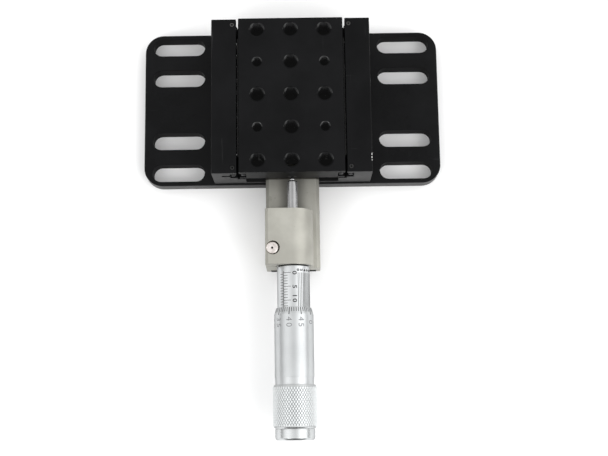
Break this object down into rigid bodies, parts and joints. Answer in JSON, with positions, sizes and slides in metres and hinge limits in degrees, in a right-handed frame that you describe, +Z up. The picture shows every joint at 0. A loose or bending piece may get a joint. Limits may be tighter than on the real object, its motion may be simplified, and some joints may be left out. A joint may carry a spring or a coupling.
{
  "type": "linear stage",
  "caption": "Manual linear translation stage: a tapped carriage on ball ways in a U-shaped body, on a slotted base plate, moved by a micrometer head in a clamp bracket.",
  "frame": {"origin": "centre of the base plate's bottom face", "axes": "+X to the right seen from the micrometer, +Y along the travel away from the micrometer, +Z up"},
  "size_m": [0.113, 0.1553, 0.0245],
  "materials": {
    "plate_black": "black anodised, fine matte grain",
    "body_black": "black anodised, fine matte grain",
    "carriage_black": "black anodised, fine matte grain",
    "bracket_nickel": "bead-blasted and nickel plated, satin",
    "sleeve_chrome": "satin chrome with black graduations",
    "thimble_chrome": "satin chrome, diamond knurl, black graduations",
    "cap_chrome": "polished chrome",
    "spindle_steel": "ground",
    "tip_steel": "polished ball",
    "barrel_steel": "turned",
    "nut_steel": "blackened",
    "rod_steel": "ground",
    "ball_steel": "polished balls",
    "spring_steel": "drawn wire",
    "post_steel": "turned",
    "pad_steel": "hardened and ground",
    "set_screw_steel": "dark, worn",
    "clamp_screw_steel": "plated",
    "dark_screw": "blackened",
    "cage_dark": "blackened strip"
  },
  "bodies": {
    "base": {"base_plate": "plate_black", "base_plate_screws": "dark_screw", "stage_body": "body_black", "left_rail_rods": "rod_steel", "right_rail_rods": "rod_steel", "rod_set_screws": "set_screw_steel", "preload_screws": "dark_screw", "micrometer_bracket": "bracket_nickel", "bracket_screws": "dark_screw", "clamp_screw": "clamp_screw_steel", "micrometer_barrel": "barrel_steel", "graduated_sleeve": "sleeve_chrome", "adjusting_nut": "nut_steel", "body_spring_posts": "post_steel", "left_return_spring": "spring_steel", "right_return_spring": "spring_steel"},
    "carriage": {"carriage": "carriage_black", "left_carriage_rods": "rod_steel", "right_carriage_rods": "rod_steel", "contact_pad": "pad_steel", "carriage_spring_posts": "post_steel"},
    "left_cage": {"left_ball_cage": "cage_dark", "left_balls": "ball_steel"},
    "right_cage": {"right_ball_cage": "cage_dark", "right_balls": "ball_steel"},
    "tip": {"ball_tip": "tip_steel"},
    "thimble": {"spindle": "spindle_steel", "thimble": "thimble_chrome", "end_cap": "cap_chrome"}
  },
  "joints": [
    {"name": "carriage_slide", "type": "slide", "parent": "base", "child": "carriage", "axis": [0, 1, 0], "range_m": [-0.01263, 0.01237], "deforming": ["left_return_spring", "right_return_spring"]},
    {"name": "left_cage_slide", "type": "slide", "parent": "base", "child": "left_cage", "axis": [0, 1, 0], "range_m": [-0.00632, 0.00619]},
    {"name": "right_cage_slide", "type": "slide", "parent": "base", "child": "right_cage", "axis": [0, 1, 0], "range_m": [-0.00632, 0.00619]},
    {"name": "tip_slide", "type": "slide", "parent": "base", "child": "tip", "axis": [0, 1, 0], "range_m": [-0.01264, 0.01238]},
    {"name": "thimble_spin", "type": "hinge", "parent": "tip", "child": "thimble", "pos_m": [0, -0.092, 0.0164], "axis": [0, 1, 0], "range_deg": [-9095, 8908]}
  ],
  "couplings": [
    {"joint": "thimble_spin", "follows": "carriage_slide", "rad_per_m": 12566},
    {"joint": "tip_slide", "follows": "carriage_slide", "ratio": 1},
    {"joint": "left_cage_slide", "follows": "carriage_slide", "ratio": 0.5},
    {"joint": "right_cage_slide", "follows": "carriage_slide", "ratio": 0.5}
  ]
}
